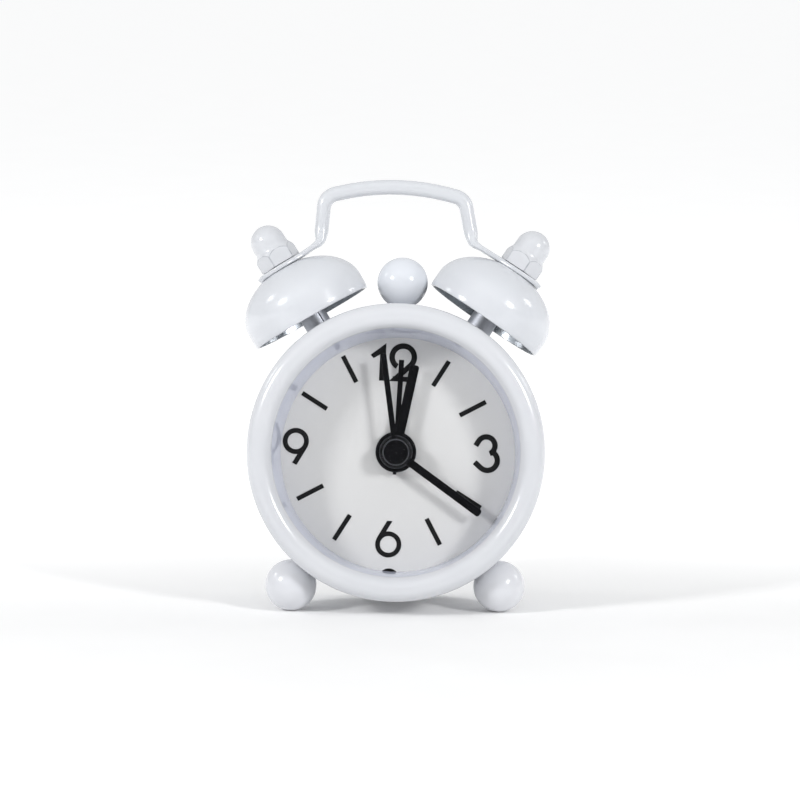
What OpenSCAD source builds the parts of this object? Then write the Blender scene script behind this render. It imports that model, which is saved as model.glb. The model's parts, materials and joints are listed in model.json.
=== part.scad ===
// Small two-bell analog alarm clock, battery driven, as an assembly of separate pieces.
// Built in the clock's own frame (axis of the hands on Y, front to -Y, up +Z),
// then leaned back to the attitude in which it stands on its two ball feet and its rear flange.

/* [Case] */
// outer radius of the drum
drum_r = 28.1; // [27.9:0.05:28.12]
// sheet thickness of the drum
drum_t = 0.6; // [0.5:0.05:0.65]
// outer radius of the front bead and of the rear flange
bezel_r = 28.94; // [28.85:0.01:29.0]
// radius of the opening in front of the lens
lens_open_r = 24.11; // [24.0:0.01:24.2]
// radius of the dial that stays visible
dial_open_r = 22.9; // [22.4:0.05:23.2]
// sideways set of the ring's opening at the dial
ring_dx = 0.4; // [-0.5:0.05:0.5]
// upward set of the ring's opening at the dial
ring_dz = -0.55; // [-0.6:0.05:0.6]

/* [Feet and finial] */
// radius of the three balls
ball_r = 5.0; // [4.9:0.05:5.1]
// distance of the feet from the clock axis
foot_d = 33.1; // [33.05:0.05:33.3]
// angle of the feet from straight down
foot_a = 37.9; // [36:0.1:40]
// depth position of the feet
foot_y = -6.0; // [-6.4:0.1:-5.6]
// distance of the finial from the clock axis
finial_d = 33.35; // [33.2:0.05:33.5]
// angle of the finial, clockwise from straight up
finial_a = 1.9; // [-2:0.1:2]

/* [Bells] */
// mouth radius of the bells
bell_r = 12.6; // [12.2:0.05:12.8]
// height of the straight skirt of the bells
bell_skirt = 3.0; // [2.6:0.05:3.2]
// whole height of the bells
bell_h = 11.7; // [11.4:0.05:11.9]
// sheet thickness of the bells
bell_t = 0.7; // [0.5:0.05:0.8]
// distance of the bell tops from the clock axis
seat_d = 42.24; // [41.9:0.02:42.3]
// angle of the left stud from straight up
stud_a_left = 31.85; // [30:0.05:32.5]
// angle of the right stud from straight up
stud_a_right = 33.5; // [32:0.1:34.5]
// how far the left bell sits off square on its stud
cant_left = 1.9; // [0:0.1:2.2]
// how far the right bell sits off square on its stud
cant_right = 0.8; // [0:0.1:1.0]
// how far the left bell nods back on its stud
nod_left = 0.5; // [0:0.1:0.8]
// how far the right bell nods back on its stud
nod_right = 1.5; // [0:0.1:1.6]
// depth position of the bells, handle and finial
bell_y = 1.5; // [1.3:0.1:1.7]

/* [Handle] */
// wire radius of the handle
wire_r = 1.37; // [1.2:0.01:1.5]
// thickness of the flattened ends
tab_t = 1.0; // [0.9:0.05:1.1]
// reach of the eyes past the studs
eye_r = 5.5; // [5.2:0.1:5.8]
// half width of the eyes
eye_w = 4.3; // [4.0:0.1:4.6]
// height of the handle's arch above the clock axis
arch_z = 53.63; // [53.0:0.05:54.5]

/* [Dial and hands] */
// sideways set of the dial from the axis of the hands
dial_dx = -0.86; // [-0.9:0.02:0]
// upward set of the dial from the axis of the hands
dial_dz = 0.28; // [0:0.02:0.3]
// turn of the dial, clockwise
dial_a = 2.4; // [0:0.1:3]
// angle of the hour hand, clockwise from up
hour_a = 12.0; // [0:0.5:360]
// angle of the minute hand
minute_a = 126.0; // [0:0.1:360]
// angle of the second hand
second_a = 352.4; // [0:0.1:360]
// angle of the alarm hand
alarm_a = 3.2; // [0:0.1:360]

/* [Movement] */
// sideways thinning of every gear tooth
backlash = 0.05; // [0.04:0.01:0.07]
// radial running clearance of the arbors
run = 0.05; // [0.03:0.01:0.06]

/* [Hidden] */

$fn = 96;
white = [0.93, 0.94, 0.95];
steel = [0.62, 0.63, 0.65];
brass = [0.80, 0.66, 0.33];
black = [0.05, 0.05, 0.055];
resin = [0.90, 0.90, 0.88];

// front bead
tube_r = (bezel_r - lens_open_r) / 2;
tube_d = (bezel_r + lens_open_r) / 2;
tube_y = -12.6;
tube_t = 0.8;
// the stack of layers, front to back
lens_y0 = -12.55; lens_y1 = -11.45;
ring_y0 = -11.4; ring_y1 = -5.05;
dial_y0 = -5.0; dial_y1 = -4.5;
fp_y0 = -4.4; fp_y1 = -3.5;
mp_y0 = -0.6; mp_y1 = 0.2;
bp_y0 = 6.7; bp_y1 = 7.6;
rc_y0 = 9.3; rc_y1 = 10.8;
drum_y0 = -12.4; drum_y1 = 10.0;
// standing attitude: both feet and the rear flange touch the floor
flange_r = bezel_r - 0.04;
ft_a = flange_r - foot_d * cos(foot_a);
ft_b = rc_y1 - foot_y;
lean = asin(ball_r / sqrt(ft_a * ft_a + ft_b * ft_b)) - atan2(ft_a, ft_b);
floor_z = rc_y1 * sin(lean) + flange_r * cos(lean);
stand_x = -0.3;
stand_y = 0.35;
sole = 0.1; // depth of the small flats on which the clock stands

// wheel centres in the plane of the dial
p_third = [9.0 * cos(150), 9.0 * sin(150)];
p_inter = [9.375 * cos(60), 9.375 * sin(60)];
p_rotor = p_inter + [6.8 * cos(30), 6.8 * sin(30)];
p_motion = [6 * cos(-45), 6 * sin(-45)];
p_time = [12 * cos(-45), 12 * sin(-45)];
p_alarm = [12 * cos(-135), 12 * sin(-135)];
p_cell = [0, -16.4];
p_buzz = [0, 12];
m_a = 0.25;
m_b = 18 / 68;
m_c = 0.24;
m_d = 0.2;
posts = [[19.5 * cos(100), 19.5 * sin(100)], [19.5 * cos(197), 19.5 * sin(197)], [19.5 * cos(-61), 19.5 * sin(-61)]];
lugs = [[16, 11.2], [-16, 11.2], [15, -12.5], [-15, -12.5]];
pipe = [0.30, 0.60, 0.95, 1.35, 1.75]; // second arbor, centre, minute, hour, alarm
set_r = 0.65;
piv_r = 0.4;

// ---- helpers -------------------------------------------------------------------------------
module stand() translate([stand_x, stand_y, floor_z - sole]) rotate([-lean, 0, 0]) children();
module ycyl(r, y0, y1) translate([0, y1, 0]) rotate([90, 0, 0]) cylinder(r = r, h = y1 - y0);
module yat(p) translate([p[0], 0, p[1]]) children();
module plan(y0, y1) translate([0, y1, 0]) rotate([90, 0, 0]) linear_extrude(height = y1 - y0) children();
module ylathe() rotate([-90, 0, 0]) rotate_extrude() children();
module tube(r0, r1, y0, y1) difference() { ycyl(r1, y0, y1); ycyl(r0, y0 - 1, y1 + 1); }
// radial frame: local +Z points away from the clock axis at angle a clockwise from up
module radial(a, y) translate([0, y, 0]) rotate([0, a, 0]) children();

function inv(a) = tan(a) * 180 / PI - a;
pa = 28;
// tooth outline: short teeth on a 28 degree involute, flanks drawn with three points
function gear_pts(z, m, a0) =
  let (rp = z * m / 2, rt = rp + 0.8 * m, rr = rp - m, rb = rp * cos(pa), rs = max(rb, rr + 0.002),
       rm = (rs + rt) / 2, off = 90 / z - backlash / rp * 90 / PI + inv(pa))
  [for (i = [0 : z - 1]) let (c = a0 + i * 360 / z)
    for (k = [0 : 7])
      let (rad = [rr, rs, rm, rt, rt, rm, rs, rr][k],
           half = off - inv(acos(min(1, rb / max(rad, rs)))),
           ang = c + (k < 4 ? -half : half))
      [rad * cos(ang), rad * sin(ang)]];
// angle of a tooth of wheel 2 that meshes with wheel 1, seen at angle phi from wheel 1
function mesh(z1, a1, z2, phi) = phi + 180 + 180 / z2 - (a1 - phi) * z1 / z2;
module gear(z, m, a0, y0, y1) plan(y0, y1) polygon(gear_pts(z, m, a0));

a_sec = 0;
a_sec_p = 0;
a_third_w = mesh(8, a_sec_p, 64, 150);
a_third_p = 11;
a_centre = mesh(8, a_third_p, 60, 150 + 180);
a_inter_p = mesh(60, a_sec, 15, 60);
a_inter_w = 2;
a_rotor = mesh(60, a_inter_w, 8, 30);
a_cannon = 5;
a_motion_w = mesh(12, a_cannon, 36, -45);
a_motion_p = 7;
a_hour = mesh(10, a_motion_p, 40, 135);
a_time = mesh(36, a_motion_w, 12, -45);
a_alarm_w = 1;
a_alarm_p = mesh(60, a_alarm_w, 36, -135);

// ---- case ----------------------------------------------------------------------------------
module case_drum() color(white) stand() difference() {
  tube(drum_r - drum_t, drum_r, drum_y0, drum_y1);
  radial(-stud_a_left, bell_y) cylinder(r = 2.1, h = 60);
  radial(stud_a_right, bell_y) cylinder(r = 2.1, h = 60);
  radial(finial_a, bell_y) cylinder(r = 1.05, h = 60);
  radial(180 - foot_a, foot_y) cylinder(r = 1.05, h = 60);
  radial(180 + foot_a, foot_y) cylinder(r = 1.05, h = 60);
}

module bezel_ring() color(white) stand() ylathe() {
  intersection() {
    translate([tube_d, tube_y]) difference() { circle(r = tube_r); circle(r = tube_r - tube_t); }
    translate([20, tube_y - 5]) square([20, 5]);
  }
  translate([bezel_r - tube_t, tube_y - 0.01]) square([tube_t, 3.41]);
}

module lens() color([0.85, 0.93, 0.95, 0.35]) stand() ylathe()
  polygon([[0, lens_y0], [25.4, lens_y0], [25.6, lens_y0 + 0.2], [25.6, lens_y1], [0, lens_y1]]);

// ring between lens and dial: its opening runs as a slanting cone from the lens to the dial
ring_h = ring_y1 - ring_y0;
ring_k = (lens_open_r + 0.05 - dial_open_r) / ring_h;
module dial_ring() color(white) stand() difference() {
  ycyl(25.7, ring_y0, ring_y1);
  multmatrix([[1, ring_dx / ring_h, 0, -ring_y0 * ring_dx / ring_h], [0, 1, 0, 0], [0, ring_dz / ring_h, 1, -ring_y0 * ring_dz / ring_h]])
    translate([0, ring_y1 + 0.5, 0]) rotate([90, 0, 0])
      cylinder(r1 = dial_open_r - 0.5 * ring_k, r2 = lens_open_r + 0.05 + 0.5 * ring_k, h = ring_h + 1);
}

module dial() color([0.92, 0.92, 0.92]) stand() difference() {
  translate([dial_dx, 0, dial_dz]) difference() {
    ycyl(25.0, dial_y0, dial_y1);
    ycyl(2.75, dial_y0 - 1, dial_y1 + 1);
  }
  rotate([0, 180 + dial_a + 0.45, 0]) translate([0, 0, 24.95]) ycyl(2.1, dial_y0 - 1, dial_y1 + 1);
}

// strokes of the printed figures, in units of the figure grid
px = 0.196;
module seg(p, q, w) translate(p) rotate(atan2(q[1] - p[1], q[0] - p[0])) translate([0, -w / 2]) square([norm(q - p), w]);
module arc(c, r, a0, a1, w) translate(c) intersection() {
  difference() { circle(r = r + w / 2); circle(r = r - w / 2); }
  polygon(concat([[0, 0]], [for (i = [0 : 12]) let (a = a0 + (a1 - a0) * i / 12) 2 * r * [cos(a), sin(a)]]));
}
module fig_one() polygon([[-10.2, 106.9], [-25.5, 94.5], [-22.3, 91.3], [-15.9, 95.3], [-15.9, 69.2], [-10.2, 69.2]]);
module fig_two() {
  arc([7.2, 93.7], 11.1, -46, 90, 5.5); arc([7.2, 93.7], 11.1, 90, 240, 5.5);
  intersection() { seg([15.2, 86.0], [-4.6, 66.9], 5.5); translate([-20, 69.2]) square([60, 30]); }
  translate([-2.4, 69.2]) square([21.6, 5]);
}
module fig_three() {
  arc([94.3, 9.45], 8.75, -64, 40, 5.4); arc([94.3, 9.45], 8.75, 39, 150, 5.4);
  seg([86.72, 13.83], [83.85, 8.85], 5.4);
  arc([96.2, -5.35], 9.9, -40, 62, 5.4); arc([96.2, -5.35], 9.9, -130, -39, 5.4);
  seg([89.83, -12.94], [83.5, -7.62], 5.4);
}
module ring2(c, r, w) translate(c) difference() { circle(r = r + w / 2); circle(r = r - w / 2); }
module fig_six() {
  ring2([1.35, -93.9], 10.7, 4.7);
  intersection() { seg([-8.4, -89.0], [3.7, -67.0], 4.7); translate([-30, -95]) square([60, 24.6]); }
}
module fig_nine() { ring2([-95.9, 4.8], 10.65, 4.9); seg([-86.7, -0.5], [-96.3, -17.9], 4.9); }
module dial_markings() color(black) stand() translate([dial_dx, 0, dial_dz]) rotate([0, dial_a, 0]) plan(dial_y0 - 0.06, dial_y0)
  scale(px) {
    fig_one(); fig_two(); fig_three(); fig_six(); fig_nine();
    for (h = [1, 2, 4, 5, 7, 8, 10, 11]) rotate(-30 * h) translate([-2.3, 76.7]) square([4.6, 29.3]);
  }

// ---- hands ---------------------------------------------------------------------------------
// a hand: boss of radius rb on a pipe, blade of length len, width w0 at the boss and w1 at the tip, tip radius rt
module hand(a, rb, bore, len, w0, w1, rt, y0, y1, b0, b1) rotate([0, a, 0]) difference() {
  union() {
    plan(y0, y1) {
      polygon([[-w0 / 2, 0], [w0 / 2, 0], [w1 / 2, len - rt], [-w1 / 2, len - rt]]);
      translate([-w1 / 2 + rt, len - 2 * rt]) square([w1 - 2 * rt, 2 * rt]);
      for (s = [-1, 1]) translate([s * (w1 / 2 - rt), len - rt]) circle(r = rt);
    }
    ycyl(rb, b0, b1);
  }
  ycyl(bore, b0 + (b0 < -9.3 ? 0.35 : -1), b1 + 1);
}
module alarm_hand() color(black) stand() {
  hand(alarm_a, 4.0, pipe[4] + 0.005, 18.05, 0.98, 1.02, 0.12, -6.45, -6.2, -6.6, -6.1);
  rotate([0, alarm_a + 180, 0]) plan(-6.45, -6.2) translate([-0.35, 3.7]) square([0.7, 0.72]);
}
module hour_hand() color(black) stand() hand(hour_a, 3.3, pipe[3] + 0.005, 17.4, 1.76, 1.88, 0.55, -7.35, -7.1, -7.5, -6.95);
module minute_hand() color(black) stand() hand(minute_a, 3.0, pipe[2] + 0.005, 20.4, 1.52, 1.6, 0.55, -8.25, -8.0, -8.4, -7.85);
module second_hand() color(black) stand() hand(second_a, 2.65, pipe[0] + 0.005, 19.3, 1.08, 1.12, 0.1, -9.15, -8.9, -9.65, -8.8);

// ---- wheels --------------------------------------------------------------------------------
module second_wheel() color(brass) stand() {
  ycyl(pipe[0], -9.3, bp_y0 + 0.6);
  gear(60, m_a, a_sec, 2.6, 3.1);
  gear(8, m_a, a_sec_p, 1.3, 2.65);
}
module centre_wheel() color(brass) stand() difference() {
  union() { ycyl(pipe[1], -2.0, 1.1); gear(60, m_b, a_centre, 0.5, 1.0); }
  ycyl(pipe[0] + run, -3, 2);
}
module cannon_pinion() color(brass) stand() difference() {
  union() { ycyl(pipe[2], -8.4, -0.8); gear(12, m_a, a_cannon, -1.6, -0.8); }
  ycyl(pipe[1] + run, -9, 0);
}
module motion_wheel() color(resin) stand() yat(p_motion) difference() {
  union() { gear(36, m_a, a_motion_w, -1.5, -1.0); gear(10, m_c, a_motion_p, -2.55, -1.45); }
  ycyl(0.5 + run, -4, 0);
}
module hour_wheel() color(resin) stand() difference() {
  union() { gear(40, m_c, a_hour, -2.4, -1.9); ycyl(pipe[3], -7.5, -1.9); }
  ycyl(pipe[2] + run, -9, 0);
}
module alarm_wheel() color(resin) stand() difference() {
  union() { gear(60, m_a, a_alarm_w, -3.2, -2.7); ycyl(pipe[4], -6.6, -2.7); }
  ycyl(pipe[3] + run, -9, 0);
}
module third_wheel() color(resin) stand() yat(p_third) {
  ycyl(piv_r, mp_y0 + 0.1, bp_y1 - 0.1);
  gear(64, m_a, a_third_w, 1.6, 2.1);
  gear(8, m_b, a_third_p, 0.4, 1.65);
}
module intermediate_wheel() color(resin) stand() yat(p_inter) {
  ycyl(piv_r, mp_y0 + 0.1, bp_y1 - 0.1);
  gear(60, m_d, a_inter_w, 3.6, 4.1);
  gear(15, m_a, a_inter_p, 2.4, 3.65);
}
module rotor() color([0.25, 0.25, 0.27]) stand() yat(p_rotor) {
  ycyl(piv_r, mp_y0 + 0.1, bp_y1 - 0.1);
  gear(8, m_d, a_rotor, 3.4, 4.6);
  ycyl(2.4, 4.55, 6.2);
}
module time_set_arbor() color(brass) stand() yat(p_time) {
  ycyl(set_r, fp_y0 + 0.2, 14.0);
  gear(12, m_a, a_time, -1.7, -0.85);
}
module alarm_set_arbor() color(brass) stand() yat(p_alarm) {
  ycyl(set_r, fp_y0 + 0.2, 14.0);
  gear(36, m_a, a_alarm_p, -3.2, -2.6);
}

// ---- motor and plates ----------------------------------------------------------------------
coil_x = 17.4;
module stator() color(steel) stand() plan(4.9, 5.7) difference() {
  union() {
    translate(p_rotor) circle(r = 4.6);
    polygon([[11.5, 10.5], [13.5, 7.4], [19.2, 6.2], [19.2, 8.6], [14.5, 10.8]]);
    polygon([[7.4, 8.6], [11.0, 7.0], [11.6, -7.5], [18.8, -7.5], [18.8, -9.4], [9.6, -9.4]]);
  }
  translate(p_rotor) circle(r = 2.7);
  translate([10.9, 4.6]) square([3.0, 2.3]);
}
module coil() color([0.72, 0.38, 0.18]) stand() translate([coil_x, 3.0, 0]) {
  translate([0, 0, -6.4]) cylinder(r = 2.3, h = 11.6);
  for (z = [-7.2, 5.2]) translate([0, 0, z]) cylinder(r = 2.6, h = 0.9);
  translate([-0.9, 0, -8.6]) cube([1.8, 1.85, 1.5]);
  translate([-0.9, 0, 6.0]) cube([1.8, 1.85, 1.5]);
}
module pivots(y0, y1, r) for (p = [p_third, p_inter, p_rotor]) yat(p) ycyl(r, y0, y1);
module setters(y0, y1, r) for (p = [p_time, p_alarm]) yat(p) ycyl(r, y0, y1);
module front_plate() color(black) stand() difference() {
  union() {
    ycyl(26.2, fp_y0, fp_y1);
    for (p = posts) yat(p) ycyl(1.6, fp_y0 + 0.1, bp_y0 - 0.02);
  }
  ycyl(pipe[4] + run, fp_y0 - 1, fp_y1 + 1);
  setters(fp_y0 + 0.15, fp_y1 + 1, set_r + run);
  for (p = posts) yat(p) ycyl(0.72, 1.5, bp_y0 + 1);
}
module middle_plate() color(resin) stand() difference() {
  union() {
    plan(mp_y0, mp_y1) circle(r = 19.8);
    yat(p_motion) ycyl(0.5, -2.6, mp_y0 + 0.1);
  }
  ycyl(pipe[1] + run, mp_y0 - 1, mp_y1 + 1);
  pivots(mp_y0 - 1, mp_y1 + 1, piv_r + run);
  setters(mp_y0 - 1, mp_y1 + 1, set_r + run);
  for (p = posts) yat(p) ycyl(1.62, mp_y0 - 1, mp_y1 + 1);
  for (s = [-1, 1]) translate([s * 14, 0, 20]) cube([8, 4, 8], center = true);
}
module back_plate() color([0.16, 0.16, 0.17]) stand() difference() {
  union() {
    ycyl(21.4, bp_y0, bp_y1);
    yat(p_cell) ycyl(6.75, 3.0, bp_y1);
    for (p = lugs) yat(p) ycyl(1.8, bp_y1 - 0.1, rc_y0 - 0.02);
    for (z = [-2.6, 5.6]) translate([-18.0, 0, z]) ycyl(1.0, 5.02, bp_y0 + 0.1);
    for (z = [-8.0, 7.3]) translate([coil_x + 1, 0, z]) ycyl(0.9, 5.72, bp_y0 + 0.1);
  }
  ycyl(pipe[0] + run, bp_y0 - 1, bp_y1 - 0.2);
  pivots(bp_y0 - 1, bp_y1 - 0.05, piv_r + run);
  setters(bp_y0 - 1, bp_y1 + 1, set_r + run);
  yat(p_cell) ycyl(5.95, 3.5, bp_y1 + 1);
  translate([p_cell[0] - 1.7, 3.4, p_cell[1] + 5.5]) cube([3.4, 6, 2]);
  for (p = posts) yat(p) ycyl(0.85, bp_y0 - 1, bp_y1 + 1);
  for (p = lugs) yat(p) ycyl(0.72, bp_y1 - 0.4, rc_y0 + 1);
}
module screw(r_head, h_head, r, len) {
  difference() {
    union() { cylinder(r = r, h = len + 0.01); translate([0, 0, len]) cylinder(r = r_head, h = h_head); }
    for (a = [0, 90]) rotate(a) translate([-r_head * 0.62, -0.16, len + h_head * 0.45]) cube([r_head * 1.24, 0.32, h_head]);
  }
}
module movement_screws() color(steel) stand() for (p = posts) yat(p) translate([0, 2.2, 0]) rotate([-90, 0, 0]) screw(1.5, 0.8, 0.7, bp_y1 - 2.18);
module circuit_board() color([0.10, 0.32, 0.16]) stand() difference() {
  plan(4.2, 5.0) translate([-19.2, -3.8]) square([7.6, 10.8]);
  translate([-12.7, 0, 0]) for (z = [-2.8, 6]) translate([0, 0, z]) ycyl(0.4, 3, 6);
}
module chip() color(black) stand() translate([-15.4, 0, 2.2]) {
  ycyl(2.3, 3.75, 4.18);
  translate([0, 3.76, 0]) rotate([90, 0, 0]) cylinder(r1 = 2.3, r2 = 1.3, h = 0.5);
}
module quartz_crystal() color(steel) stand() translate([-15.5, 3.1, -6.4]) {
  cylinder(r = 1.0, h = 5.2);
  for (x = [-0.45, 0.45]) translate([x, 0, 5.1]) cylinder(r = 0.16, h = 1.0);
}
module buzzer() color(brass) stand() yat(p_buzz) { ycyl(7.6, 8.95, 9.25); ycyl(5.4, 8.7, 8.96); }
module button_cell() color(steel) stand() yat(p_cell) {
  ycyl(5.75, 4.7, 9.2);
  ycyl(4.7, 3.9, 4.75);
}
module contact_plus() color(brass) stand() translate([p_cell[0] - 1.3, 0, p_cell[1] + 5.8]) { translate([0, 3.6, 0]) cube([2.6, 5.2, 0.25]); translate([0, 3.6, 0]) cube([2.6, 0.25, 1.6]); }
module contact_minus() color(brass) stand() yat(p_cell) { ycyl(2.6, 3.52, 3.88); }

// ---- rear ----------------------------------------------------------------------------------
module cover_shape() difference() {
  union() {
    ylathe() polygon([[0, rc_y0], [26.2, rc_y0], [26.2, 8.2], [27.4, 8.2], [27.4, drum_y1 + 0.05], [flange_r, drum_y1 + 0.05],
      [flange_r, rc_y1], [0, rc_y1]]);
  }
  setters(rc_y0 - 1, rc_y1 + 1, set_r + 0.1);
  for (p = [p_time, p_alarm]) yat(p) ycyl(5.0, rc_y1 - 0.5, rc_y1 + 1);
  yat(p_cell) { ycyl(6.4, rc_y0 - 1, rc_y1 + 1); ycyl(7.3, rc_y1 - 0.8, rc_y1 + 1); }
  for (p = lugs) yat(p) { ycyl(0.85, rc_y0 - 1, rc_y1 + 1); ycyl(1.7, rc_y1 - 0.6, rc_y1 + 1); }
  yat(p_buzz) { for (i = [0 : 5]) rotate([0, 60 * i, 0]) translate([0, 0, 3.2]) ycyl(0.7, rc_y0 - 1, rc_y1 + 1); ycyl(0.7, rc_y0 - 1, rc_y1 + 1); }
  translate([-3.4, rc_y0 - 1, -0.9]) cube([6.8, 4, 1.8]);
  translate([-4.4, rc_y1 - 0.5, -1.9]) cube([8.8, 4, 3.8]);
}
module rear_cover() color(white) difference() {
  stand() cover_shape();
  translate([-50, -50, -10]) cube([100, 100, 10]);
}
module rear_cover_screws() color(steel) stand() for (p = lugs) yat(p) translate([0, 7.3, 0]) rotate([-90, 0, 0]) screw(1.5, 0.7, 0.7, rc_y1 - 0.58 - 7.3);
module battery_door() color(white) stand() yat(p_cell) difference() {
  union() { ycyl(6.2, rc_y0 + 0.1, rc_y1 - 0.7); ycyl(7.1, rc_y1 - 0.75, rc_y1); }
  translate([-4.2, rc_y1 - 0.9, -0.65]) cube([8.4, 2, 1.3]);
}
module knob() difference() {
  union() {
    ycyl(4.4, 11.3, 14.6);
    translate([0, 14.59, 0]) rotate([-90, 0, 0]) cylinder(r1 = 4.4, r2 = 3.9, h = 0.4);
    ycyl(1.6, rc_y1 - 0.3, 11.31);
  }
  ycyl(set_r + 0.005, 9, 14.0);
  for (i = [0 : 19]) rotate([0, 18 * i, 0]) translate([0, 0, 4.62]) ycyl(0.42, 11, 15.2);
  translate([0, 15.5, 0]) sphere(r = 2.2);
}
module time_knob() color(white) stand() yat(p_time) knob();
module alarm_knob() color(white) stand() yat(p_alarm) knob();
module alarm_switch() color(black) stand() translate([-1.5, 0, 0]) {
  translate([-1.8, rc_y0 - 0.75, -1.6]) cube([3.6, 0.7, 3.2]);
  translate([-1.2, rc_y0 - 0.1, -0.85]) cube([2.4, 1.2, 1.7]);
  translate([-1.7, rc_y1 - 0.45, -1.7]) cube([3.4, 1.1, 3.4]);
  for (x = [-1.0, 0, 1.0]) translate([x - 0.2, rc_y1 + 0.6, -1.5]) cube([0.4, 0.3, 3.0]);
}

// ---- bells ---------------------------------------------------------------------------------
flat_r = 4.35; // the small level seat on top of the bell
function dome(r, rr, hs, hd) = hs + hd * sqrt(max(0, 1 - r * r / (rr * rr)));
bell_n = 26;
module bell_shape() {
  ri = bell_r - bell_t;
  hd = bell_h - bell_skirt;
  outer = [for (i = [0 : bell_n]) let (t = (90 - asin(flat_r / bell_r)) * i / bell_n) [bell_r * cos(t), dome(bell_r * cos(t), bell_r, bell_skirt, hd)]];
  inner = [for (i = [bell_n : -1 : 0]) let (t = (90 - asin(flat_r / ri)) * i / bell_n) [ri * cos(t), dome(ri * cos(t), ri, bell_skirt, hd - bell_t)]];
  top = outer[bell_n][1];
  translate([0, 0, -top]) rotate_extrude() difference() {
    polygon(concat([[bell_r - 0.12, 0], [bell_r, 0.9]], outer, [[2.3, top], [2.3, inner[0][1]]], inner, [[ri, 0.9], [ri - 0.05, 0]]));
  }
}
module bell_left() color(white) stand() radial(-stud_a_left, bell_y) translate([0, 0, seat_d]) rotate([-nod_left, cant_left, 0]) bell_shape();
module bell_right() color(white) stand() radial(stud_a_right, bell_y) translate([0, 0, seat_d]) rotate([-nod_right, cant_right, 0]) bell_shape();

module stud() translate([0, 0, 23.6]) cylinder(r = 2.0, h = seat_d + tab_t + 5.3 - 23.6);
module stud_left() color(steel) stand() radial(-stud_a_left, bell_y) stud();
module stud_right() color(steel) stand() radial(stud_a_right, bell_y) stud();
// rolled sleeve with an open seam, coped to sit on the drum
module spacer(a, seam) difference() {
  radial(a, bell_y) difference() {
    translate([0, 0, 26]) cylinder(r = 2.65, h = seat_d - bell_t - 0.12 - 26);
    translate([0, 0, 20]) cylinder(r = 2.05, h = 40);
    rotate([0, 0, seam]) translate([1, -0.12, 20]) cube([3, 0.24, 40]);
  }
  ycyl(drum_r + 0.02, -30, 30);
}
module spacer_left() color(steel) stand() spacer(-stud_a_left, -62);
module spacer_right() color(steel) stand() spacer(stud_a_right, 100);

cap_af = 7.45;
inner_af = 7.0;
// hexagon nut body of height h whose top corners are turned off over the height c
module hex_body(af, h, c) intersection() {
  cylinder(r = af / sqrt(3), h = h, $fn = 6);
  rotate_extrude() polygon([[0, 0], [af / sqrt(3) - 0.28, 0], [af / sqrt(3), 0.2], [af / sqrt(3), h - c], [af / 2 - 0.02, h], [0, h]]);
}
module cap_nut() difference() {
  union() {
    hex_body(cap_af, 3.1, 0.9);
    cylinder(r = 3.45, h = 4.9);
    translate([0, 0, 4.9]) sphere(r = 3.45);
  }
  translate([0, 0, -5]) cylinder(r = 10, h = 5);
  translate([0, 0, -1]) cylinder(r = 2.02, h = 6.4);
}
tab_gap = 0.14;
nut_z = seat_d + tab_gap + tab_t + 0.06;
module cap_nut_left() color(white) stand() radial(-stud_a_left, bell_y) translate([0, 0, nut_z]) rotate([0, 0, 11.6]) cap_nut();
module cap_nut_right() color(white) stand() radial(stud_a_right, bell_y) translate([0, 0, nut_z]) rotate([0, 0, -15.6]) cap_nut();
module inner_nut() translate([0, 0, 24.0]) difference() { hex_body(inner_af, 2.9, 0.38); translate([0, 0, -1]) cylinder(r = 2.02, h = 6); }
module inner_nut_left() color(steel) stand() radial(-stud_a_left, bell_y) inner_nut();
module inner_nut_right() color(steel) stand() radial(stud_a_right, bell_y) inner_nut();

// ---- handle: one bent wire with flattened, pierced ends ------------------------------------
tab_d = seat_d + tab_gap + tab_t / 2;
function rad(a, d) = [d * sin(a), d * cos(a)];
eye_l = rad(-stud_a_left, tab_d);
eye_rt = rad(stud_a_right, tab_d);
dir_l = [cos(stud_a_left), sin(stud_a_left)];
dir_rt = [-cos(stud_a_right), sin(stud_a_right)];
way = [eye_l, eye_l + 4.6 * dir_l, [-15.2, 41.3], [-14.35, 50.5], [-0.5, arch_z], [13.25, 50.15], [14.9, 41.25], eye_rt + 4.6 * dir_rt, eye_rt];
bend = [0, 5, 1.9, 3.0, 45, 3.0, 1.9, 5, 0];
function unit(v) = v / norm(v);
// points of the rounded corner i of the way
function corner(i) =
  let (u = unit(way[i] - way[i - 1]), v = unit(way[i + 1] - way[i]), c = cross([u[0], u[1], 0], [v[0], v[1], 0])[2],
       th = acos(max(-1, min(1, u * v))), tl = bend[i] * tan(th / 2), a = way[i] - tl * u,
       nrm = (c > 0 ? 1 : -1) * [-u[1], u[0]], o = a + bend[i] * nrm, n = max(3, ceil(th / 7)))
  [for (k = [0 : n]) let (f = (c > 0 ? 1 : -1) * th * k / n, w = -bend[i] * nrm) o + [w[0] * cos(f) - w[1] * sin(f), w[0] * sin(f) + w[1] * cos(f)]];
eye_n = 12;
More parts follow.
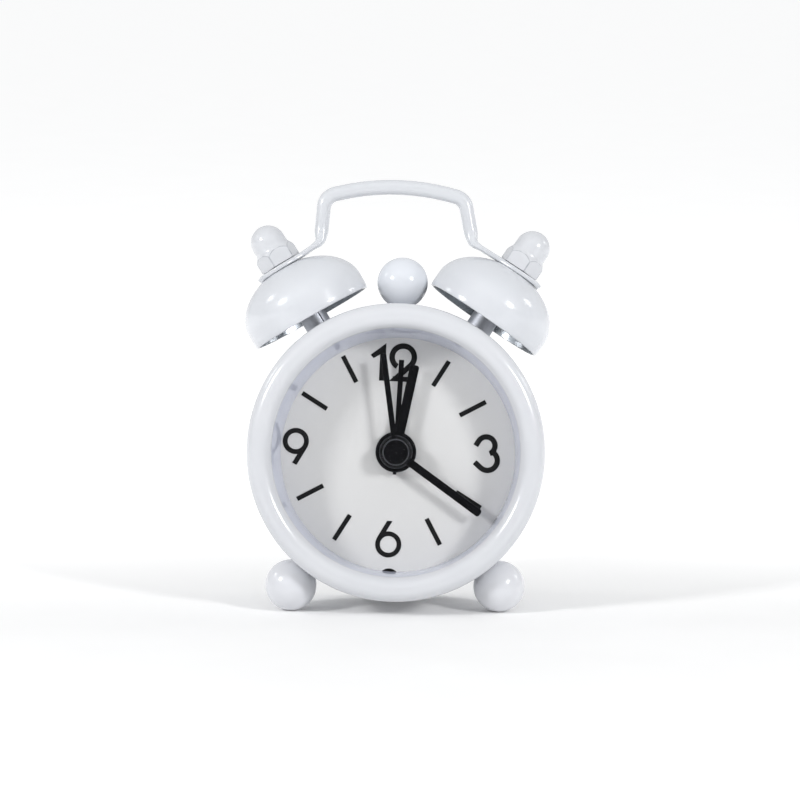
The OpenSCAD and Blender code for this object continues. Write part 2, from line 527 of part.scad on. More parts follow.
// the tips of the eyes are pressed down a little over the bells
function sag(r) = 0.35 * pow(max(0, (r - 3.9) / 1.6), 2);
function eye_at(c, d, u, i) = let (r = eye_r * cos(8 + 82 * i / eye_n)) c - r * d - sag(r) * u;
lead = [for (i = [0 : eye_n]) eye_at(eye_l, dir_l, rad(-stud_a_left, 1), i)];
trail = [for (i = [eye_n : -1 : 0]) eye_at(eye_rt, dir_rt, rad(stud_a_right, 1), i)];
function between(p, q, n) = [for (i = [1 : n - 1]) p + (q - p) * i / n];
function chain(i) = i > 7 ? [] : let (c = corner(i), nx = i < 7 ? corner(i + 1)[0] : eye_rt) concat(c, between(c[len(c) - 1], nx, max(1, ceil(norm(nx - c[len(c) - 1]) / 1.1))), chain(i + 1));
path = concat(lead, between(eye_l, corner(1)[0], 5), chain(1), trail);
np = len(path);
function run_len(i) = i == 0 ? [0] : let (r = run_len(i - 1)) concat(r, [r[i - 1] + norm(path[i] - path[i - 1])]);
dist = run_len(np - 1);
q0 = eye_r * (1 - cos(8));
function ease(t) = let (c = max(0, min(1, t))) c * c * (3 - 2 * c);
function near_end(i) = q0 + min(dist[i], dist[np - 1] - dist[i]);
// from the eye the strip narrows to a neck; it turns into round wire in the bend above the bell
neck_w = 2.3;
function bend_q(i) = eye_r + (dist[i] < dist[np - 1] / 2 ? norm(way[2] - eye_l) : norm(way[6] - eye_rt));
function half_w(q, c) = q < eye_r ? eye_w * sqrt(1 - pow(1 - q / eye_r, 2))
  : eye_w + (neck_w - eye_w) * ease((q - eye_r) / 5.5) + (wire_r - neck_w) * ease((q - c + 2.4) / 5.6);
function half_t(q, c) = tab_t / 2 + (wire_r - tab_t / 2) * ease((q - c + 2.2) / 4.6);
function sq(q, c) = 2 + 3 * (1 - ease((q - c + 3.0) / 5.6));
side_n = 22;
function pw(v, e) = sign(v) * pow(abs(v), 2 / e);
function ring_pts(i) =
  let (t = unit(path[min(np - 1, i + 1)] - path[max(0, i - 1)]), n = [-t[1], t[0]], q = near_end(i), c = bend_q(i), a = half_t(q, c), b = half_w(q, c), e = sq(q, c))
  [for (j = [0 : side_n - 1]) let (f = 360 * j / side_n, u = a * pw(cos(f), e), v = b * pw(sin(f), e)) [path[i][0] + u * n[0], v, path[i][1] + u * n[1]]];
module wire() polyhedron(
  points = [for (i = [0 : np - 1]) each ring_pts(i)],
  faces = concat(
    [for (i = [0 : np - 2]) for (j = [0 : side_n - 1]) let (k = (j + 1) % side_n) each
      [[i * side_n + j, i * side_n + k, (i + 1) * side_n + k], [i * side_n + j, (i + 1) * side_n + k, (i + 1) * side_n + j]]],
    [[for (j = [side_n - 1 : -1 : 0]) j], [for (j = [0 : side_n - 1]) (np - 1) * side_n + j]]));
module handle() color(white) stand() difference() {
  translate([0, bell_y, 0]) wire();
  radial(-stud_a_left, bell_y) translate([0, 0, 38]) cylinder(r = 2.2, h = 12);
  radial(stud_a_right, bell_y) translate([0, 0, 38]) cylinder(r = 2.2, h = 12);
}

// ---- balls ---------------------------------------------------------------------------------
module ball(d) difference() {
  union() {
    translate([0, 0, d]) sphere(r = ball_r);
    translate([0, 0, drum_r + 0.1]) cylinder(r = 2.0, h = 2);
  }
  cylinder(r = 1.02, h = 32);
}
module finial_ball() color(white) stand() radial(finial_a, bell_y) ball(finial_d);
module foot(a) difference() {
  stand() radial(a, foot_y) ball(foot_d);
  translate([-50, -50, -10]) cube([100, 100, 10]);
}
module foot_left() color(white) foot(180 + foot_a);
module foot_right() color(white) foot(180 - foot_a);
module ball_rivets() color(steel) stand()
  for (p = [[finial_a, bell_y], [180 + foot_a, foot_y], [180 - foot_a, foot_y]]) radial(p[0], p[1]) translate([0, 0, 26.55]) { cylinder(r = 1.0, h = 5.2); cylinder(r = 2.1, h = 0.75); }

case_drum();
bezel_ring();
lens();
dial_ring();
dial();
dial_markings();
second_hand();
minute_hand();
hour_hand();
alarm_hand();
second_wheel();
centre_wheel();
cannon_pinion();
motion_wheel();
hour_wheel();
alarm_wheel();
third_wheel();
intermediate_wheel();
rotor();
time_set_arbor();
alarm_set_arbor();
stator();
coil();
front_plate();
middle_plate();
back_plate();
movement_screws();
circuit_board();
chip();
quartz_crystal();
buzzer();
button_cell();
contact_plus();
contact_minus();
rear_cover();
rear_cover_screws();
battery_door();
time_knob();
alarm_knob();
alarm_switch();
bell_left();
bell_right();
stud_left();
stud_right();
spacer_left();
spacer_right();
cap_nut_left();
cap_nut_right();
inner_nut_left();
inner_nut_right();
handle();
finial_ball();
foot_left();
foot_right();
ball_rivets();
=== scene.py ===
import json
import math

import bmesh
import bpy
from mathutils import Matrix, Vector

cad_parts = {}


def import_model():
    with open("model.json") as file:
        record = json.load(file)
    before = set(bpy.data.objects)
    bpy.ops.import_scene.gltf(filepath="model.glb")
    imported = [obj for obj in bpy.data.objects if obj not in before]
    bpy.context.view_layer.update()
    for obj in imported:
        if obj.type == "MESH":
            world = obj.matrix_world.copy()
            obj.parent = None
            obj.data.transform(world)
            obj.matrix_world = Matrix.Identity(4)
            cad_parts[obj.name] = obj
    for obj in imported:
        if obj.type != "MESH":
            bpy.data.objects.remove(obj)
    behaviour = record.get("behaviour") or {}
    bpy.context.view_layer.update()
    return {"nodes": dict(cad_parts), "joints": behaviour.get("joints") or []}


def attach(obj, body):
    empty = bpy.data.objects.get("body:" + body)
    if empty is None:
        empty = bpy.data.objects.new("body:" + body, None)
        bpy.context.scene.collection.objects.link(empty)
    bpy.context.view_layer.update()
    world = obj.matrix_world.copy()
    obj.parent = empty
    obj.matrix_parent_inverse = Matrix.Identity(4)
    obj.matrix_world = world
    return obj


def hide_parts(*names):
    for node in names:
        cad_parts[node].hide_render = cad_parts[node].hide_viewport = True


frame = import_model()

scene = bpy.context.scene
nodes = frame["nodes"]

# ---- the clock's own frame: hands' axis on Y, front to -Y, up +Z, in millimetres ---------------
MM = 0.001


def sind(a):
    return math.sin(math.radians(a))


def cosd(a):
    return math.cos(math.radians(a))


FT_A = 28.9 - 33.1 * cosd(37.9)
FT_B = 10.8 + 6.0
LEAN = math.asin(5.0 / math.hypot(FT_A, FT_B)) - math.atan2(FT_A, FT_B)
CL, SL = math.cos(LEAN), math.sin(LEAN)
STAND = tuple(c / MM for j in frame["joints"] if j["name"] == "second_hand_spin" for c in j["pos_m"])


def world(p):
    x, y, z = p
    return Vector(((x + STAND[0]) * MM, (y * CL + z * SL + STAND[1]) * MM, (-y * SL + z * CL + STAND[2]) * MM))


def world_dir(v):
    x, y, z = v
    return Vector((x, y * CL + z * SL, -y * SL + z * CL))


def on_axis(p):
    """Local point with its axis on local Z, to the clock frame with that axis on the hands' axis."""
    return (p[0], p[2], p[1])


def about_y(p, a):
    x, y, z = p
    return (x * cosd(a) + z * sind(a), y, -x * sind(a) + z * cosd(a))


def radial(p, a, y0):
    x, y, z = about_y(p, a)
    return (x, y + y0, z)


# ---- mesh helpers ------------------------------------------------------------------------------
def build(name, verts, faces, mats, body, node=None, face_mats=None, sharp=38.0, attr=None):
    """A mesh piece from clock-frame points, smooth but for edges sharper than the given angle."""
    me = bpy.data.meshes.new(name)
    me.from_pydata([world(v) for v in verts], [], faces)
    if face_mats:
        me.polygons.foreach_set("material_index", face_mats)
    if attr:
        layer = me.attributes.new(attr[0], "FLOAT", "POINT")
        layer.data.foreach_set("value", attr[1])
    bm = bmesh.new()
    bm.from_mesh(me)
    bmesh.ops.recalc_face_normals(bm, faces=bm.faces)
    bm.to_mesh(me)
    bm.free()
    me.polygons.foreach_set("use_smooth", [True] * len(me.polygons))
    me.set_sharp_from_angle(angle=math.radians(sharp))
    for m in mats:
        me.materials.append(m)
    ob = bpy.data.objects.new(name, me)
    scene.collection.objects.link(ob)
    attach(ob, body)
    if node:
        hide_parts(node)
    return ob


def lathe(profile, n=128, closed=True):
    """Points and faces of a profile of (radius, height) turned about local Z, and the profile step of each face."""
    verts, faces, steps, rings = [], [], [], []
    for r, z in profile:
        if r < 1e-6:
            rings.append([len(verts)])
            verts.append((0.0, 0.0, z))
        else:
            rings.append(list(range(len(verts), len(verts) + n)))
            verts += [(r * math.cos(2 * math.pi * k / n), r * math.sin(2 * math.pi * k / n), z) for k in range(n)]
    m = len(profile)
    for i in range(m if closed else m - 1):
        a, b = rings[i], rings[(i + 1) % m]
        if len(a) == 1 and len(b) == 1:
            continue
        for k in range(n):
            k2 = (k + 1) % n
            if len(a) == 1:
                faces.append((a[0], b[k], b[k2]))
            elif len(b) == 1:
                faces.append((a[k], b[0], a[k2]))
            else:
                faces.append((a[k], b[k], b[k2], a[k2]))
            steps.append(i)
    return verts, faces, steps


def rounded(points, seg=5):
    """A closed polygon of (x, y, radius) with its corners rounded."""
    out, n = [], len(points)
    for i in range(n):
        p = Vector(points[i][:2])
        rad = points[i][2]
        u = Vector(points[i - 1][:2]) - p
        v = Vector(points[(i + 1) % n][:2]) - p
        if rad <= 0 or u.length < 1e-9 or v.length < 1e-9:
            out.append(tuple(p))
            continue
        lu, lv = u.length, v.length
        u, v = u / lu, v / lv
        half = math.acos(max(-1.0, min(1.0, u.dot(v)))) / 2
        if half > math.radians(88):
            out.append(tuple(p))
            continue
        t = min(rad / math.tan(half), 0.48 * lu, 0.48 * lv)
        rr = t * math.tan(half)
        c = p + (u + v).normalized() * (rr / math.sin(half))
        a, b = p + u * t - c, p + v * t - c
        ang = a.angle_signed(b)
        for k in range(seg + 1):
            f = -ang * k / seg
            out.append((c.x + a.x * math.cos(f) - a.y * math.sin(f), c.y + a.x * math.sin(f) + a.y * math.cos(f)))
    return out


def inset(poly, d):
    """A convex polygon drawn in by d."""
    n = len(poly)
    area = sum(poly[i - 1][0] * poly[i][1] - poly[i][0] * poly[i - 1][1] for i in range(n))
    s = 1.0 if area > 0 else -1.0
    out = []
    for i in range(n):
        p, q, r = Vector(poly[i - 1]), Vector(poly[i]), Vector(poly[(i + 1) % n])
        e1, e2 = (q - p).normalized(), (r - q).normalized()
        n1, n2 = Vector((-e1.y, e1.x)) * s, Vector((-e2.y, e2.x)) * s
        m = (n1 + n2) / max(0.3, 1 + n1.dot(n2))
        out.append(tuple(q + m * d))
    return out


def plate(poly, layers):
    """A convex outline lofted through (inset, height) layers, capped at both ends. Local X, Y, height on Z."""
    verts, faces = [], []
    n = len(poly)
    for d, h in layers:
        verts += [(x, y, h) for x, y in (inset(poly, d) if d else poly)]
    for i in range(len(layers) - 1):
        for k in range(n):
            k2 = (k + 1) % n
            faces.append((i * n + k, i * n + k2, (i + 1) * n + k2, (i + 1) * n + k))
    faces.append(tuple(range(n - 1, -1, -1)))
    faces.append(tuple(range((len(layers) - 1) * n, len(layers) * n)))
    return verts, faces


def join(*shells):
    verts, faces = [], []
    for v, f in shells:
        o = len(verts)
        verts += list(v)
        faces += [tuple(i + o for i in face) for face in f]
    return verts, faces


# ---- materials ---------------------------------------------------------------------------------
def material(name):
    mat = bpy.data.materials.new(name)
    mat.use_nodes = True
    nt = mat.node_tree
    return mat, nt, nt.nodes["Principled BSDF"]


def add(nt, kind, **values):
    n = nt.nodes.new(kind)
    for k, v in values.items():
        if hasattr(n, k):
            setattr(n, k, v)
        else:
            n.inputs[k.replace("_", " ")].default_value = v
    return n


def noise(nt, scale, detail=2.0, rough=0.5, stretch=None):
    tc = add(nt, "ShaderNodeTexCoord")
    n = add(nt, "ShaderNodeTexNoise")
    n.inputs["Scale"].default_value = scale
    n.inputs["Detail"].default_value = detail
    n.inputs["Roughness"].default_value = rough
    if stretch:
        mp = add(nt, "ShaderNodeMapping")
        mp.inputs["Scale"].default_value = stretch
        nt.links.new(tc.outputs["Object"], mp.inputs["Vector"])
        nt.links.new(mp.outputs["Vector"], n.inputs["Vector"])
    else:
        nt.links.new(tc.outputs["Object"], n.inputs["Vector"])
    return n


def ramp(nt, source, stops):
    r = add(nt, "ShaderNodeValToRGB")
    while len(r.color_ramp.elements) < len(stops):
        r.color_ramp.elements.new(0.5)
    for e, (pos, col) in zip(r.color_ramp.elements, stops):
        e.position = pos
        e.color = (*col, 1.0) if len(col) == 3 else col
    nt.links.new(source, r.inputs["Fac"])
    return r.outputs["Color"]


def spread(nt, source, lo, hi, from_lo=0.3, from_hi=0.7):
    m = add(nt, "ShaderNodeMapRange")
    m.inputs["From Min"].default_value = from_lo
    m.inputs["From Max"].default_value = from_hi
    m.inputs["To Min"].default_value = lo
    m.inputs["To Max"].default_value = hi
    nt.links.new(source, m.inputs["Value"])
    return m.outputs["Result"]


def bump(nt, source, distance, strength, normal=None):
    b = add(nt, "ShaderNodeBump")
    b.inputs["Distance"].default_value = distance
    b.inputs["Strength"].default_value = strength
    nt.links.new(source, b.inputs["Height"])
    if normal is not None:
        nt.links.new(normal, b.inputs["Normal"])
    return b.outputs["Normal"]


def mix_color(nt, fac, a, b):
    m = add(nt, "ShaderNodeMix", data_type="RGBA")
    nt.links.new(fac, m.inputs[0])
    nt.links.new(a, m.inputs[6])
    if isinstance(b, tuple):
        m.inputs[7].default_value = (*b, 1.0)
    else:
        nt.links.new(b, m.inputs[7])
    return m.outputs[2]


def enamel(name, pale, deep, rough=(0.14, 0.20), edge_lines=False):
    """Sprayed and stoved gloss enamel: faint orange peel, cloudy tone, a few dust nibs."""
    mat, nt, p = material(name)
    cloud = noise(nt, 110.0, 3.0)
    col = ramp(nt, cloud.outputs["Fac"], [(0.30, deep), (0.72, pale)])
    if edge_lines:
        # optional dark grey lines where the edge attribute marks facet edges, broken up by noise
        at = add(nt, "ShaderNodeAttribute", attribute_name="edge")
        brk = noise(nt, 900.0, 2.0)
        fac = add(nt, "ShaderNodeMath", operation="MULTIPLY")
        nt.links.new(at.outputs["Fac"], fac.inputs[0])
        nt.links.new(spread(nt, brk.outputs["Fac"], 0.50, 1.0, 0.35, 0.6), fac.inputs[1])
        col = mix_color(nt, fac.outputs[0], col, (0.30, 0.32, 0.35))
    nt.links.new(col, p.inputs["Base Color"])
    peel = noise(nt, 1100.0, 1.0, 0.4)
    nt.links.new(spread(nt, peel.outputs["Fac"], rough[0], rough[1]), p.inputs["Roughness"])
    fine = noise(nt, 5200.0, 1.0)
    nib = spread(nt, fine.outputs["Fac"], 0.0, 1.0, 0.72, 0.80)
    n1 = bump(nt, peel.outputs["Fac"], 0.000010, 0.35)
    nt.links.new(bump(nt, nib, 0.000006, 0.30, n1), p.inputs["Normal"])
    p.inputs["IOR"].default_value = 1.5
    return mat


def plastic(name, pale, deep, rough=(0.28, 0.36), grain=2600.0, depth=0.000008, ior=1.47):
    mat, nt, p = material(name)
    cloud = noise(nt, 90.0, 3.0)
    nt.links.new(ramp(nt, cloud.outputs["Fac"], [(0.30, deep), (0.70, pale)]), p.inputs["Base Color"])
    g = noise(nt, grain, 2.0)
    nt.links.new(spread(nt, g.outputs["Fac"], rough[0], rough[1]), p.inputs["Roughness"])
    nt.links.new(bump(nt, g.outputs["Fac"], depth, 0.4), p.inputs["Normal"])
    p.inputs["IOR"].default_value = ior
    return mat


def metal(name, pale, deep, rough=(0.22, 0.38), scale=700.0, stretch=(1.0, 1.0, 9.0), depth=0.000006):
    mat, nt, p = material(name)
    brushed = noise(nt, scale, 4.0, 0.6, stretch)
    cloud = noise(nt, 160.0, 3.0)
    c1 = ramp(nt, cloud.outputs["Fac"], [(0.30, deep), (0.70, pale)])
    nt.links.new(c1, p.inputs["Base Color"])
    nt.links.new(spread(nt, brushed.outputs["Fac"], rough[0], rough[1]), p.inputs["Roughness"])
    nt.links.new(bump(nt, brushed.outputs["Fac"], depth, 0.4), p.inputs["Normal"])
    p.inputs["Metallic"].default_value = 1.0
    return mat


WHITE = enamel("white_enamel", (0.657, 0.669, 0.698), (0.637, 0.650, 0.682))
BELL_WHITE = enamel("white_enamel_bells", (0.663, 0.680, 0.714), (0.643, 0.661, 0.698))
WIRE_WHITE = enamel("white_enamel_handle", (0.634, 0.650, 0.680), (0.622, 0.639, 0.670), (0.185, 0.205))
# painted light: the finial and feet take a paler, bluer copy of the white enamel, making up for light from below that
# they miss
BALL_WHITE = enamel("white_enamel_finial", (0.726, 0.750, 0.796), (0.704, 0.730, 0.780))
FOOT_WHITE = enamel("white_enamel_feet", (0.712, 0.720, 0.752), (0.690, 0.700, 0.736))
NUT_WHITE = enamel("white_enamel_nuts", (0.642, 0.654, 0.682), (0.617, 0.631, 0.662), edge_lines=True)
WALL = plastic("white_gloss_plastic", (0.650, 0.672, 0.775), (0.630, 0.652, 0.755), (0.03, 0.06), 1500.0, 0.000002, 1.75)
REAR = plastic("white_moulding", (0.715, 0.727, 0.740), (0.690, 0.702, 0.716), (0.30, 0.42), 2600.0, 0.000012)
STEEL = metal("bare_steel", (0.60, 0.61, 0.63), (0.46, 0.47, 0.49))
SLEEVE = metal("sleeve_steel", (0.52, 0.54, 0.59), (0.40, 0.42, 0.46), (0.48, 0.62), 900.0, (1.0, 1.0, 5.0), 0.000012)
BRASS = metal("brass", (0.80, 0.63, 0.30), (0.66, 0.50, 0.22))
COPPER = metal("copper_winding", (0.75, 0.36, 0.18), (0.55, 0.22, 0.10), (0.25, 0.40), 900.0, (1.0, 1.0, 14.0), 0.00004)
MAGNET = metal("sintered_magnet", (0.26, 0.26, 0.28), (0.17, 0.17, 0.19), (0.45, 0.60), 1800.0, (1.0, 1.0, 1.0))
INK = plastic("print_black", (0.0065, 0.0065, 0.0075), (0.0045, 0.0045, 0.0055), (0.42, 0.58), 4200.0, 0.000006, 1.32)
BLACK = plastic("black_moulding", (0.018, 0.018, 0.020), (0.011, 0.011, 0.012), (0.36, 0.50), 2400.0, 0.000012)
RESIN = plastic("resin", (0.80, 0.79, 0.75), (0.74, 0.73, 0.69))
BOARD = plastic("board_green", (0.060, 0.230, 0.095), (0.030, 0.150, 0.060), (0.30, 0.42), 1900.0, 0.00001)


def dial_paper():
    """Printed card with a faint fibre tone and a soft satin varnish."""
    mat, nt, p = material("dial_card")
    fibre = noise(nt, 1400.0, 4.0, 0.62)
    cloud = noise(nt, 70.0, 2.0)
    c = mix_color(nt, spread(nt, cloud.outputs["Fac"], 0.0, 1.0),
                  ramp(nt, fibre.outputs["Fac"], [(0.30, (0.735, 0.727, 0.728)), (0.70, (0.765, 0.757, 0.758))]),
                  ramp(nt, fibre.outputs["Fac"], [(0.30, (0.748, 0.740, 0.739)), (0.70, (0.775, 0.767, 0.766))]))
    nt.links.new(c, p.inputs["Base Color"])
    nt.links.new(spread(nt, fibre.outputs["Fac"], 0.50, 0.66), p.inputs["Roughness"])
    nt.links.new(bump(nt, fibre.outputs["Fac"], 0.000010, 0.25), p.inputs["Normal"])
    p.inputs["IOR"].default_value = 1.40
    return mat


def clear_lens():
    """Clear pane: what is behind it shows through, and it mirrors a little more at a slant."""
    mat, nt, p = material("clear_lens")
    p.inputs["Base Color"].default_value = (0.02, 0.02, 0.02, 1.0)
    p.inputs["IOR"].default_value = 3.0
    smear = noise(nt, 60.0, 3.0)
    nt.links.new(spread(nt, smear.outputs["Fac"], 0.02, 0.06), p.inputs["Roughness"])
    see = add(nt, "ShaderNodeBsdfTransparent")
    see.inputs["Color"].default_value = (0.990, 0.993, 0.993, 1.0)
    lw = add(nt, "ShaderNodeLayerWeight")
    lw.inputs["Blend"].default_value = 0.5
    pw = add(nt, "ShaderNodeMath", operation="POWER")
    nt.links.new(lw.outputs["Facing"], pw.inputs[0])
    pw.inputs[1].default_value = 4.0
    mx = add(nt, "ShaderNodeMixShader")
    nt.links.new(spread(nt, pw.outputs[0], 0.03, 0.60, 0.0, 1.0), mx.inputs["Fac"])
    nt.links.new(see.outputs["BSDF"], mx.inputs[1])
    nt.links.new(p.outputs["BSDF"], mx.inputs[2])
    nt.links.new(mx.outputs["Shader"], nt.nodes["Material Output"].inputs["Surface"])
    return mat


def bell_inside():
    """Bare steel, with a painted highlight: a bright grey patch of base colour on the lower outer part of the lip
    stands in for a reflection.
    """
    mat, nt, p = material("bell_inside_steel")
    brushed = noise(nt, 420.0, 4.0, 0.6, (1.0, 1.0, 3.0))
    cloud = noise(nt, 160.0, 3.0)
    steel = ramp(nt, cloud.outputs["Fac"], [(0.30, (0.12, 0.135, 0.15)), (0.70, (0.20, 0.22, 0.245))])
    at = add(nt, "ShaderNodeAttribute", attribute_name="painted_lip_glint")
    mist = noise(nt, 700.0, 3.0)
    fac = add(nt, "ShaderNodeMath", operation="MULTIPLY")
    nt.links.new(at.outputs["Fac"], fac.inputs[0])
    nt.links.new(spread(nt, mist.outputs["Fac"], 0.30, 1.0, 0.38, 0.60), fac.inputs[1])
    # painted highlight: where the lip mask is set, the steel is mixed to a bright grey that stands in for a reflection
    # of the lamps
    nt.links.new(mix_color(nt, fac.outputs[0], steel, (0.50, 0.53, 0.57)), p.inputs["Base Color"])
    p.inputs["Metallic"].default_value = 1.0
    nt.links.new(spread(nt, brushed.outputs["Fac"], 0.22, 0.36), p.inputs["Roughness"])
    nt.links.new(bump(nt, brushed.outputs["Fac"], 0.000006, 0.4), p.inputs["Normal"])
    return mat


def hand_lacquer():
    """Black lacquer, with a painted highlight: a paler grey on the rounded edges of the bosses stands in for their ring
    sheen.
    """
    mat, nt, p = material("hand_black")
    cloud = noise(nt, 90.0, 3.0)
    col = ramp(nt, cloud.outputs["Fac"], [(0.30, (0.0040, 0.0040, 0.0052)), (0.70, (0.0060, 0.0060, 0.0074))])
    at = add(nt, "ShaderNodeAttribute", attribute_name="edge")
    # painted highlight: the boss edges marked by the edge attribute are mixed to a paler grey
    nt.links.new(mix_color(nt, at.outputs["Fac"], col, (0.046, 0.047, 0.053)), p.inputs["Base Color"])
    g = noise(nt, 2600.0, 2.0)
    nt.links.new(spread(nt, g.outputs["Fac"], 0.12, 0.18), p.inputs["Roughness"])
    nt.links.new(bump(nt, g.outputs["Fac"], 0.0000004, 0.4), p.inputs["Normal"])
    p.inputs["IOR"].default_value = 1.5
    return mat


DIAL = dial_paper()
LENS = clear_lens()
BELL_IN = bell_inside()
HAND = hand_lacquer()

# ---- case --------------------------------------------------------------------------------------
TUBE_R, TUBE_D, TUBE_Y, TUBE_T = 2.415, 26.525, -12.6, 0.8


def bezel():
    prof = [(28.94, -9.2, 0.16), (28.94, TUBE_Y, 0)]
    for k in range(1, 40):
        t = 180.0 * k / 40
        prof.append((TUBE_D + TUBE_R * cosd(t), TUBE_Y - TUBE_R * sind(t), 0))
    prof += [(24.11, TUBE_Y, 0.05), (24.91, TUBE_Y, 0)]
    for k in range(19, 0, -1):
        t = 180.0 * k / 20
        prof.append((TUBE_D + (TUBE_R - TUBE_T) * cosd(t), TUBE_Y - (TUBE_R - TUBE_T) * sind(t), 0))
    prof += [(28.14, TUBE_Y, 0), (28.14, -9.2, 0.16)]
    v, f, _ = lathe(rounded(prof), 256)
    return build("bezel", [on_axis(p) for p in v], f, [WHITE], "case", "bezel_ring")


def drum():
    v, f, _ = lathe(rounded([(28.1, -12.4, 0.05), (28.1, 10.0, 0.12), (27.5, 10.0, 0.1), (27.5, -12.4, 0.05)]), 256)
    return build("drum", [on_axis(p) for p in v], f, [WHITE], "case", "case_drum")


def lens():
    v, f, _ = lathe([(0, -12.55), (25.4, -12.55), (25.6, -12.35), (25.6, -11.45), (0, -11.45)], 192, closed=False)
    return build("pane", [on_axis(p) for p in v], f, [LENS], "case", "lens", sharp=30)


def wall_ring():
    """Ring between lens and dial, its opening slanting from the lens down to the dial."""
    n, prof = 256, rounded([(24.16, -11.4, 0.12), (25.7, -11.4, 0.0), (25.7, -5.05, 0.0), (22.9, -5.05, 0.06)], 4)
    v, f, _ = lathe(prof, n)
    pts = []
    for x, z, y in v:
        t = (y + 11.4) / 6.35 if math.hypot(x, z) < 24.8 else 0.0
        pts.append((x + 0.4 * t, y, z - 0.55 * t))
    return build("wall_ring", pts, f, [WALL], "case", "dial_ring")


bezel()
drum()
lens()
wall_ring()

# ---- bells -------------------------------------------------------------------------------------
BELL_R, BELL_SKIRT, BELL_H, BELL_T, SEAT, BELL_Y = 12.6, 3.0, 11.7, 0.7, 42.24, 1.5
STUD_A = {"left": -31.85, "right": 33.5}
CANT = {"left": 1.9, "right": 0.8}
NOD = {"left": 0.5, "right": 1.5}
TAB, TAB_GAP = 1.0, 0.14


def bell(side):
    ri, hd, flat = BELL_R - BELL_T, BELL_H - BELL_SKIRT, 4.35
    n = 44
    t1 = 90.0 - math.degrees(math.asin(flat / BELL_R))
    t2 = 90.0 - math.degrees(math.asin(flat / ri))
    top = BELL_SKIRT + hd * math.sqrt(1 - (flat / BELL_R) ** 2)
    out = [(BELL_R * cosd(t1 * i / n), BELL_SKIRT + hd * sind(t1 * i / n), 0) for i in range(n + 1)]
    inn = [(ri * cosd(t2 * i / n), BELL_SKIRT + (hd - BELL_T) * sind(t2 * i / n), 0) for i in range(n, -1, -1)]
    out[-1] = (flat, top, 0.5)
    prof = rounded([(BELL_R - 0.12, 0, 0.22), (BELL_R, 0.9, 3.0)] + out + [(2.3, top, 0), (2.3, inn[0][1], 0)] + inn
                   + [(ri, 2.6, 0), (ri + 0.12, 0, 0.16)], 6)
    v, f, steps = lathe(prof, 192)
    inside = [i for i, q in enumerate(prof) if abs(q[0] - 2.3) < 1e-6][-1]
    last = len(prof) - 6
    fm = [1 if inside <= s < last else 0 for s in steps]
    pts, painted_lip_glint = [], []
    cn, sn = cosd(NOD[side]), sind(NOD[side])
    for x, y, z in v:
        s = (x if side == "right" else -x) / BELL_R
        # painted highlight mask: the lower part of the lip on the bell's outer side
        painted_lip_glint.append(max(0.0, min(1.0, (3.2 - z) / 1.6)) * max(0.0, min(1.0, (s - 0.02) / 0.30)))
        z -= top
        x, y, z = about_y((x, y * cn + z * sn, z * cn - y * sn), CANT[side])
        pts.append(radial((x, y, z + SEAT), STUD_A[side], BELL_Y))
    return build("bell_shell_" + side, pts, f, [BELL_WHITE, BELL_IN], "case", "bell_" + side, fm, attr=("painted_lip_glint", painted_lip_glint))


def sleeve(side):
    """Rolled spacer sleeve with an open seam, coped to the drum."""
    n, gap = 72, math.degrees(0.12 / 2.35)
    verts, faces = [], []
    seam = -62.0 if side == "left" else 100.0
    ro, ri = 2.65, 2.05
    cols = []
    for k in range(n + 1):
        a = seam + gap + (360 - 2 * gap) * k / n
        c, s = cosd(a), sind(a)
        base = len(verts)
        cols.append(base)
        for r, top in ((ro, False), (ro, True), (ri, True), (ri, False)):
            x = r * c
            low = math.sqrt(28.12 ** 2 - x * x)
            z = SEAT - BELL_T - 0.12 if top else low
            verts.append((x, r * s, z))
    for k in range(n):
        a, b = cols[k], cols[k + 1]
        for j in range(4):
            j2 = (j + 1) % 4
            faces.append((a + j, b + j, b + j2, a + j2))
    faces.append(tuple(cols[0] + j for j in range(4)))
    faces.append(tuple(cols[n] + j for j in (3, 2, 1, 0)))
    return build("sleeve_" + side, [radial(p, STUD_A[side], BELL_Y) for p in verts], faces, [SLEEVE], "case", "spacer_" + side)


def soft_min(a, b, k):
    h = max(0.0, min(1.0, 0.5 + 0.5 * (b - a) / k))
    return b + (a - b) * h - k * h * (1 - h)


